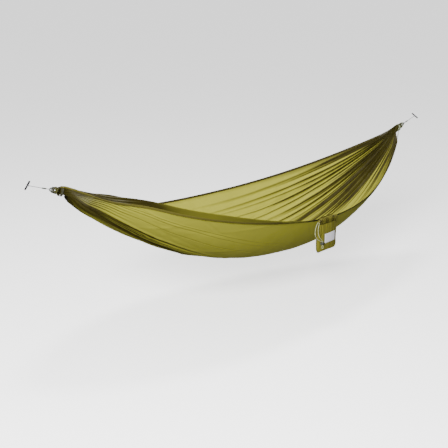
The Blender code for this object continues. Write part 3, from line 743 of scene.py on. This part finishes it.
def smooth_rows(array, width):
    kernel = np.hanning(width + 2)[1:-1]
    kernel /= kernel.sum()
    padded = np.pad(array, ((width // 2, width // 2), (0, 0)), mode="edge")
    return np.stack([np.convolve(column, kernel, mode="valid") for column in padded.T], axis=1)


def stitches(name, line, across, face, lift, pitch=0.0042, size=0.0030, radius=0.00028):
    """Short raised threads on both faces along a line."""
    run = run_lengths(line)
    at = np.arange(pitch, run[-1] - pitch, pitch)
    rings = []
    for sign in (-1, 1):
        a, b = read_at(line, run, at - size / 2), read_at(line, run, at + size / 2)
        side, up = read_at(across, run, at), read_at(face, run, at) * sign
        for k, bulge in ((0.0, 0.2), (0.25, 1.0), (0.75, 1.0), (1.0, 0.2)):
            centre = a * (1 - k) + b * k + up * (lift - radius * (1.6 - bulge))
            rings.append(np.stack([centre + side * (radius * x) + up * (radius * y)
                                   for x, y in ((1, 0), (0, 1), (-1, 0), (0, -1))], axis=1))
    verts, faces = [], []
    for half in (rings[:4], rings[4:]):
        for one in np.stack(half, axis=1):
            base = len(verts)
            verts += [tuple(p) for p in one.reshape(-1, 3)]
            for i in range(3):
                low, high = base + 4 * i, base + 4 * i + 4
                for j in range(4):
                    k = (j + 1) % 4
                    faces.append((low + j, low + k, high + k, high + j))
            faces += [(base + 3, base + 2, base + 1, base), (base + 12, base + 13, base + 14, base + 15)]
    mesh = bpy.data.meshes.new(name)
    mesh.from_pydata(verts, [], faces)
    mesh.uv_layers.new(name="cloth")
    mesh.shade_smooth()
    mesh.materials.append(MATS["thread"])
    return link_object(name, mesh)


# ---- the gathered ends -------------------------------------------------------------------
def arc(centre_u, radius, first, final, count):
    return [(centre_u + radius * math.cos(a), radius * math.sin(a))
            for a in np.linspace(first, final, count)]


def channel_route():
    turn = arc(*LOOP_IN, -LOOP_QUARTER, LOOP_QUARTER, 49)
    leg = [(-math.cos(LOOP_LEAN) * d, -math.sin(LOOP_LEAN) * d) for d in (0.006, 0.003)]
    first = [(turn[0][0] + du, turn[0][1] - dw) for du, dw in leg]
    final = [(turn[-1][0] + du, turn[-1][1] + dw) for du, dw in reversed(leg)]
    return first + turn + final


def end_loop(end):
    route = arc(*LOOP_OUT, LOOP_QUARTER, 2 * math.pi - LOOP_QUARTER, 41) + channel_route()
    loop = tube(end.name + "_end_cord", [end.at(u, 0, w) for u, w in route], LOOP_R, MATS["end_cord"],
                sides=20, closed=True, lay=0.009)
    finish_piece(loop, "bed", "end_cord", end.name + "_end_loop")


def end_channel(end):
    """The cloth channel, crushed into deep ruffles along the cord, with painted shade in the hollows between
    them.
    """
    path = resample([end.at(u, 0, w) for u, w in channel_route()], 0.0004)
    side, other = frames_along(path, False)
    run = run_lengths(path)
    sides, least, most = 48, 0.0034, 0.0090
    a, l = (2 * np.pi * np.arange(sides) / sides)[None, :], run[:, None]
    seed = 3 + end.side
    bunch = value_noise(l * 420 + 2.0 * value_noise(a * 1.6, l * 90, seed), np.sin(a) * 1.2 + 5, seed + 1)
    small = value_noise(l * 900, a * 2.5, seed + 2)
    radius = 0.0050 + 0.0040 * bunch ** 1.3 + 0.0008 * small
    mouth = smooth(np.minimum(run, run[-1] - run), 0.0, 0.0025)[:, None]
    radius = np.minimum(least + (radius - least) * mouth, most)
    points = rings_around(path, side, other, radius, a)
    uv = uv_from(run[:, None] * 4, (np.arange(sides + 1) * 0.001)[None])
    # painted shade where the ruffles sink in
    ruffle = grid_object(end.name + "_channel_ruffle", points, MATS["gather"], uv,
                         {"painted_shade_and_seam": 1 - smooth(bunch, 0.2, 0.7)}, round_j=True, caps=True)
    finish_piece(ruffle, "bed", "nylon", end.name + "_end_channel")


def lashing_route(end, start_u, turns, pitch, half_v, half_w, centre_w, power):
    """Turns round the gathered end, between an oval and a rounded box as power grows."""
    points, per_turn = [], 48
    for k in range(turns * per_turn + 1):
        a = 2 * math.pi * k / per_turn - math.pi / 2
        c, s = math.cos(a), math.sin(a)
        v = math.copysign(abs(c) ** (2 / power), c) * half_v
        w = math.copysign(abs(s) ** (2 / power), s) * half_w
        points.append(end.at(start_u + pitch * k / per_turn, v, centre_w + w))
    return points


def lashings(end):
    mat = MATS["dark_lashing" if end.side < 0 else "lashing"]
    route = lashing_route(end, start_u=0.0102, turns=3, pitch=0.0027, half_v=0.0050, half_w=0.0132,
                          centre_w=0.0, power=4)
    seizing = tube(end.name + "_seizing_cord", route, SEIZING_R, mat, taper=0.001)
    finish_piece(seizing, "bed", "lashing", end.name + "_loop_seizing")
    route = lashing_route(end, start_u=0.0502, turns=4, pitch=0.0033, half_v=0.0142, half_w=0.0202,
                          centre_w=-0.0015, power=2.6)
    whipping = tube(end.name + "_whipping_cord", route, LINE_R, mat, lay=0.005, taper=0.001)
    finish_piece(whipping, "bed", "lashing", end.name + "_whipping")


def finish_piece(obj, body, slot, *nodes):
    if nodes:
        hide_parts(*nodes)
    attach(obj, body)


def tails(end):
    for name, u, w, length, drift in TAILS:
        first = end.at(u, TAIL_V, w)
        hung = [first + Vector((x * drift, 0.0, z)) * (length / 1.08) for x, z in TAIL_DROP]
        route = smooth_route([end.at(u - 0.007, -0.0120, w + 0.004)] + hung, 0.003)
        tail = tube(name + "_cord", route, SEIZING_R, MATS["lashing"], taper=0.0015)
        finish_piece(tail, "bed", "lashing", name)
        float(run_lengths(np.array(route))[-1])


def smooth_route(points, step):
    """An even polyline along a smooth curve through given points."""
    p = [np.array(q, float) for q in points]
    p = [2 * p[0] - p[1]] + p + [2 * p[-1] - p[-2]]
    dense = []
    for i in range(1, len(p) - 2):
        for k in range(24):
            t = k / 24
            dense.append(0.5 * (2 * p[i] + (p[i + 1] - p[i - 1]) * t
                                + (2 * p[i - 1] - 5 * p[i] + 4 * p[i + 1] - p[i + 2]) * t * t
                                + (3 * p[i] - p[i - 1] - 3 * p[i + 1] + p[i + 2]) * t ** 3))
    dense.append(p[-2])
    return resample(dense, step)


# ---- the toggle lines --------------------------------------------------------------------
def line_eye(end):
    route = arc(EYE_CENTRE, EYE_R, -1.75, 1.75, 33)
    route += [(-0.0125, 0.0026), (-0.0158, 0.0017), (-0.0169, 0.0012), (-0.0174, 0.0),
              (-0.0169, -0.0012), (-0.0158, -0.0017), (-0.0125, -0.0026)]
    eye = tube(end.name + "_line_eye_cord", [end.at(u, v, 0) for u, v in route], LINE_R, MATS["line"],
               sides=14, closed=True, lay=0.005)
    finish_piece(eye, end.name + "_eye", "line", end.name + "_line_eye")


def line_bead(end):
    """A small round bead that fills the gap between the eye and its sleeve, where the line sways."""
    ball = [(SWAY_O - BEAD_R * math.cos(a), BEAD_R * math.sin(a))
            for a in np.linspace(0.06, math.pi - 0.06, 18)]
    bead = lathe(end.name + "_line_bead", end.base, -end.u, end.v, ball, MATS["plastic"])
    finish_piece(bead, end.name + "_eye", "line_sleeve")


def line_sleeve(end):
    first, final = SLEEVE_O
    body = []
    for x in np.linspace(0, 1, 24):
        swell = float(smooth(x, 0, 0.12) * (1 - smooth(x, 0.88, 1)))
        body.append((first + (final - first) * x, 0.0023 + 0.0008 * swell + 0.00008 * math.sin(40 * x)))
    sleeve = lathe(end.name + "_splice_sleeve", end.base, -end.u, end.v, body, MATS["plastic"])
    finish_piece(sleeve, end.name + "_line", "line_sleeve", end.name + "_line_sleeve")
    return sleeve


def line(end, sleeve, toggle):
    route = [end.at(-o) for o in np.linspace(*LINE_O, 30)]
    cord = tube(end.name + "_line_cord", route, LINE_R, MATS["line"], sides=14, lay=0.005)
    finish_piece(cord, end.name + "_line", "line", end.name + "_line")
    end.at(-LINE_O[0])
    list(toggle)


def line_knot(end):
    """A small knot, as one closed cord wound on itself."""
    centre, points = end.at(-KNOT_O), []
    for k in range(96):
        a = 2 * math.pi * k / 96
        points.append(centre + end.u * (0.0009 * math.sin(3 * a)) + end.v * (KNOT_R * math.sin(2 * a) * 0.8)
                      + end.w * (KNOT_R * math.cos(a)))
    knot = tube(end.name + "_knot_cord", points, KNOT_CORD_R, MATS["line"], closed=True)
    finish_piece(knot, end.name + "_knot", "line", end.name + "_line_knot")


def toggle(end):
    """The bar, with its groove and rounded ends, and the cord noosed in the groove."""
    dome = [(BAR_HALF - BAR_R * (1 - math.sin(a)) * 0.7, BAR_R * math.cos(a))
            for a in np.linspace(1.5, 0.0, 12)]
    half = dome + [(BAR_HALF - 0.0060, BAR_R), (BAR_HALF - 0.0064, BAR_R - 0.0003),
                   (BAR_HALF - 0.0068, BAR_R), (GROOVE_HALF + 0.0010, BAR_R),
                   (GROOVE_HALF + 0.0004, BAR_R - 0.0004), (GROOVE_HALF, GROOVE_R)]
    profile = half + [(-along, radius) for along, radius in reversed(half)]

    def worn(along):
        along = np.abs(along)
        return smooth(along, BAR_HALF - 0.003, BAR_HALF) + (along < GROOVE_HALF + 0.0012) * 0.6

    centre = end.at(-TOGGLE_O)
    bar = lathe(end.name + "_toggle", centre, end.bar, end.u, profile, MATS["alloy"], 64, worn, BAR_FLAT)
    finish_piece(bar, end.name + "_toggle", "alloy", end.name + "_toggle_bar")
    ring = [centre + end.u * (NOOSE_R * math.cos(a)) + end.tilt * (NOOSE_R * math.sin(a))
            for a in np.linspace(0, 2 * math.pi, 73)[:-1]]
    noose = tube(end.name + "_noose_cord", ring, NOOSE_CORD_R, MATS["line"], closed=True)
    finish_piece(noose, end.name + "_toggle", "line", end.name + "_toggle_noose")
    return [bar, noose]


# ---- the pouch ---------------------------------------------------------------------------
def pouch_axes():
    def rim(s):
        line = bed_section(s, 129)
        run = run_lengths(line)
        return read_at(line, run, np.array([min(0.011, 0.12 * run[-1]) / 2]))[0]

    p, q = rim(POUCH_S), rim(POUCH_S + 0.02)
    along = Vector((q[0] - p[0], q[1] - p[1], 0.0)).normalized()
    return Vector(p), along, Vector((along.y, -along.x, 0.0)), Vector((0.0, 0.0, -1.0))


HEM_POINT, ALONG, OUT, DOWN = pouch_axes()


def on_pouch(a, n, d):
    """Points from places along, out of and down the pouch, as arrays or numbers."""
    a, n, d = np.broadcast_arrays(np.asarray(a, float), np.asarray(n, float), np.asarray(d, float))
    return np.array(HEM_POINT) + a[..., None] * np.array(ALONG) + n[..., None] * np.array(OUT) \
        + d[..., None] * np.array(DOWN)


def outline_half(d):
    into = np.clip(d - (POUCH_END - POUCH_CORNER), 0, POUCH_CORNER)
    return POUCH_HALF - POUCH_CORNER + np.sqrt(POUCH_CORNER ** 2 - into ** 2)


def bulge(a, d):
    across = np.clip(1 - np.abs(a / POUCH_HALF) ** 2.6, 0, None)
    down = np.clip(1 - np.abs(2 * (d - POUCH_TOP) / (POUCH_END - POUCH_TOP) - 1) ** 3, 0, None)
    return 0.0022 + 0.0118 * across * (0.55 + 0.45 * down)


def pouch_folds(a, d):
    """Slack folds that fall from the gathered top, and slant creases over the lower corners, with painted
    shade beside each.
    """
    local = np.random.default_rng(21)
    height, dark = np.zeros(np.broadcast(a, d).shape), np.zeros(np.broadcast(a, d).shape)
    for k in range(17):
        at = -POUCH_HALF + 2 * POUCH_HALF * (k + local.uniform(0.2, 0.8)) / 17
        reach, wide = local.uniform(0.03, 0.11), local.uniform(0.0022, 0.0055)
        lift, lean = local.uniform(0.0007, 0.0019) * local.choice([-1, 1]), local.uniform(-0.15, 0.15)
        x = (a - at - lean * (d - POUCH_TOP)) / wide
        fade = np.exp(-((d - POUCH_TOP) / reach) ** 2)
        height += lift * fade * (1.5 * x * np.exp(-0.5 * x * x))
        dark += 0.55 * fade * np.exp(-((x + np.sign(lift)) ** 2) / 0.6)
    for k in range(12):
        ca, cd = local.uniform(-0.07, 0.08), local.uniform(0.06, 0.155)
        slant = local.uniform(-1.1, -0.6) if k % 3 else local.uniform(0.8, 1.4)
        along, across = slanted(a - ca, d - cd, slant)
        size, wide = local.uniform(0.02, 0.05), local.uniform(0.002, 0.0045)
        x = across / wide
        fade = np.exp(-(along / size) ** 2)
        height += local.uniform(0.0005, 0.0013) * fade * (1.4 * x * np.exp(-0.5 * x * x))
        dark += 0.4 * fade * np.exp(-((x + 1) ** 2) / 0.6)
    return height, np.clip(dark, 0, 1)


def pouch_panel(name, count_a, count_d, face, node):
    k = np.linspace(-1, 1, count_a)[None, :]
    straight = np.linspace(POUCH_TOP - 0.004, POUCH_END - POUCH_CORNER, count_d)
    turn = POUCH_END - POUCH_CORNER + POUCH_CORNER * np.sin(np.linspace(0, 1.45, 24)[1:])
    d = np.concatenate([straight, turn])[:, None]
    a = outline_half(d) * k
    n, dark = face(a, d)
    panel = grid_object(name, on_pouch(a, n, d), MATS["pouch"], uv_from(a, d), {"painted_shade_and_seam": dark})
    finish_piece(panel, "pouch", "nylon", node)
    return panel


def from_rim(a, d):
    return np.clip(1 - np.abs(a) / outline_half(d), 0, 1)


def pouch_bag():
    def front(a, d):
        height, dark = pouch_folds(a, d)
        rim = from_rim(a, d)
        # painted shade in the folds, and more towards the rim where the cloth curves back
        return POUCH_MID + bulge(a, d) * smooth(rim, 0, 0.10) ** 0.5 + height * smooth(rim, 0, 0.06), \
            dark + 0.25 * (1 - smooth(rim, 0, 0.08))

    def back(a, d):
        height, dark = pouch_folds(-a, d)
        rim = from_rim(a, d)
        return POUCH_MID - (0.0010 + 0.0032 * smooth(rim, 0, 0.2)) - 0.5 * height * smooth(rim, 0, 0.06), dark

    sides = [pouch_panel("pouch_front_cloth", 181, 150, front, "pouch_front"),
             pouch_panel("pouch_back_cloth", 121, 90, back, "pouch_back")]
    off = BINDING_R + 0.0003
    half, end, corner = POUCH_HALF + off, POUCH_END + off, POUCH_CORNER + off
    left = [(-half, d) for d in np.linspace(POUCH_TOP - 0.002, end - corner, 30)]
    turn = [(-half + corner * (1 - math.cos(a)), end - corner * (1 - math.sin(a)))
            for a in np.linspace(0, math.pi / 2, 25)[1:]]
    floor = [(a, end) for a in np.linspace(-half + corner, 0, 20)[1:-1]]
    side = left + turn + floor
    route = side + [(0.0, end)] + [(-a, d) for a, d in reversed(side)]
    path = [on_pouch(a * (1 - 0.010 * math.sin(d * 60)), POUCH_MID + 0.0010 * math.sin(d * 70 + a * 40), d)
            for a, d in route]
    binding = tube("pouch_piping", path, BINDING_R, MATS["hem"], step=0.0012, braid=0.03, strands=2, lay=0.03)
    finish_piece(binding, "pouch", "hem", "pouch_binding")
    pouch_label()


def pouch_label():
    """A blank woven label, turned under and stitched at its edges."""
    a = np.linspace(*LABEL_A, 71)[None, :]
    d = np.linspace(*LABEL_D, 41)[:, None]
    height = pouch_folds(a, d)[0]
    edge = np.minimum(np.minimum(a - LABEL_A[0], LABEL_A[1] - a),
                      np.minimum(d - LABEL_D[0], LABEL_D[1] - d))
    n = POUCH_MID + bulge(a, d) + 0.35 * height + 0.0004 + 0.0008 * smooth(edge, 0, 0.0012)
    seam = np.exp(-((edge - 0.0022) / 0.0004) ** 2)
    label = grid_object("pouch_label_cloth", on_pouch(a, n, d), MATS["label"], uv_from(a, d), {"painted_shade_and_seam": seam})
    thicken(label, 0.0009, -1.0)
    finish_piece(label, "pouch", "label", "pouch_label")
    return label


def pouch_collar():
    """The gathered channel at the pouch's mouth, with painted shade all over it, deepest between the ruffles.
    """
    count, sides = 420, 64
    k = np.linspace(-1, 1, count)[:, None]
    a = 2 * np.pi * np.arange(sides)[None, :] / sides
    mid_n, half_n, mid_d = 0.0225, 0.0128, (COLLAR_UP + COLLAR_DOWN) / 2
    where = k * COLLAR_HALF
    drift = 1.6 * value_noise(np.sin(a) * 2 + 4, where * 60, 31)
    ruffle = value_noise(where * 330 + drift, np.cos(a) + 3, 33)
    fine = value_noise(where * 800, np.sin(a) * 3 + 9, 35)
    size = (1 - 0.30 * np.abs(k) ** 5) * (0.80 + 0.22 * ruffle ** 1.2 + 0.03 * fine)
    c, s = np.cos(a), np.sin(a)
    n = mid_n + half_n * size * np.sign(c) * np.abs(c) ** 0.8
    waist = 1 - 0.20 * np.exp(-((s - 0.25) / 0.22) ** 2) * (c > 0)
    n = mid_n + (n - mid_n) * waist
    d = mid_d + (COLLAR_DOWN - COLLAR_UP) / 2 * size * np.sign(s) * np.abs(s) ** 0.8
    uv = uv_from(where * 2, np.arange(sides + 1)[None, :] * 0.0012)
    dark = np.clip(0.25 + 0.9 * (1 - smooth(ruffle, 0.15, 0.7)), 0, 1)
    collar = grid_object("pouch_collar", on_pouch(where + 0 * a, n, d), MATS["pouch"], uv,
                         {"painted_shade_and_seam": dark}, round_j=True, caps=True)
    finish_piece(collar, "pouch", "nylon", "pouch_channel")


def pouch_tape():
    d, a = np.linspace(-0.0165, 0.0045, 22)[:, None], np.linspace(-0.055, 0.055, 111)[None, :]
    n = 0.0072 + 0.0004 * value_noise(a * 300, d * 200, 41) + 0 * d
    tape = grid_object("pouch_seam_tape", on_pouch(a, n, d), MATS["hem"], uv_from(a, d))
    thicken(tape, 0.0014, 0.0)
    finish_piece(tape, "bed", "hem", "pouch_tape")


def drawcord_points():
    a, n, d = LOCK[0] + CORD_A, LOCK[1], LOCK[2]
    outer = [(-0.0842, 0.0195, 0.0010), (-0.1040, 0.0235, 0.0100), (-0.1250, 0.0290, 0.0290),
             (-0.1330, 0.0335, 0.0530), (-0.1210, 0.0368, 0.0780), (-0.0900, n + CORD_N, 0.0965),
             (a - 0.0030, n + CORD_N, 0.1020), (a, n + CORD_N, d - 0.0076), (a, n + CORD_N, d),
             (a, n + CORD_N, d + 0.0080)]
    turn = [(a, n + 0.0040, d + 0.0170), (a, n + 0.0048, d + 0.0230), (a, n, d + 0.0285),
            (a, n - 0.0048, d + 0.0230), (a, n - 0.0040, d + 0.0170)]
    inner = [(-0.0842, 0.0262, 0.0040), (-0.0970, 0.0300, 0.0180), (-0.1070, 0.0345, 0.0420),
             (-0.1010, 0.0370, 0.0680), (-0.0800, n - CORD_N, 0.0900),
             (a - 0.0012, n - CORD_N, 0.1000), (a, n - CORD_N, d - 0.0076), (a, n - CORD_N, d),
             (a, n - CORD_N, d + 0.0080)]
    return outer + turn + inner[::-1]


def drawcord():
    route = smooth_route([on_pouch(*p) for p in drawcord_points()], 0.0015)
    cord = tube("pouch_drawcord", route, SEIZING_R, MATS["drawcord"])
    finish_piece(cord, "pouch", "lashing", "drawcord")
    float(run_lengths(route)[-1])
    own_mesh(cord)


def cord_lock():
    for node in ("cord_lock_barrel", "cord_lock_button"):
        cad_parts[node].material_slots[0].material = MATS["plastic"]
    first, final, steps = LOCK_BACK + 0.0024, BUTTON_BACK - 0.0004, SPRING_TURNS * 24
    points = []
    for k in range(steps + 1):
        a = 2 * math.pi * k / 24
        points.append(Vector(on_pouch(LOCK[0] + first + (final - first) * k / steps,
                                      LOCK[1] + SPRING_R * math.cos(a), LOCK[2] + SPRING_R * math.sin(a))))
    spring = tube("cord_lock_coil", points, SPRING_WIRE, MATS["steel"], sides=8, step=0.0003, braid=0.0)
    finish_piece(spring, "cord_lock", "steel", "cord_lock_spring")
    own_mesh(spring)


# ---- put it together ---------------------------------------------------------------------
make_camera()
make_materials()
tails(ENDS[1])
drawcord()
for each_end in ENDS:
    line(each_end, line_sleeve(each_end), toggle(each_end))
    line_eye(each_end)
    line_bead(each_end)
    line_knot(each_end)
    end_loop(each_end)
    end_channel(each_end)
    lashings(each_end)
bed_cloth()
pouch_tape()
pouch_bag()
pouch_collar()
cord_lock()
make_studio()
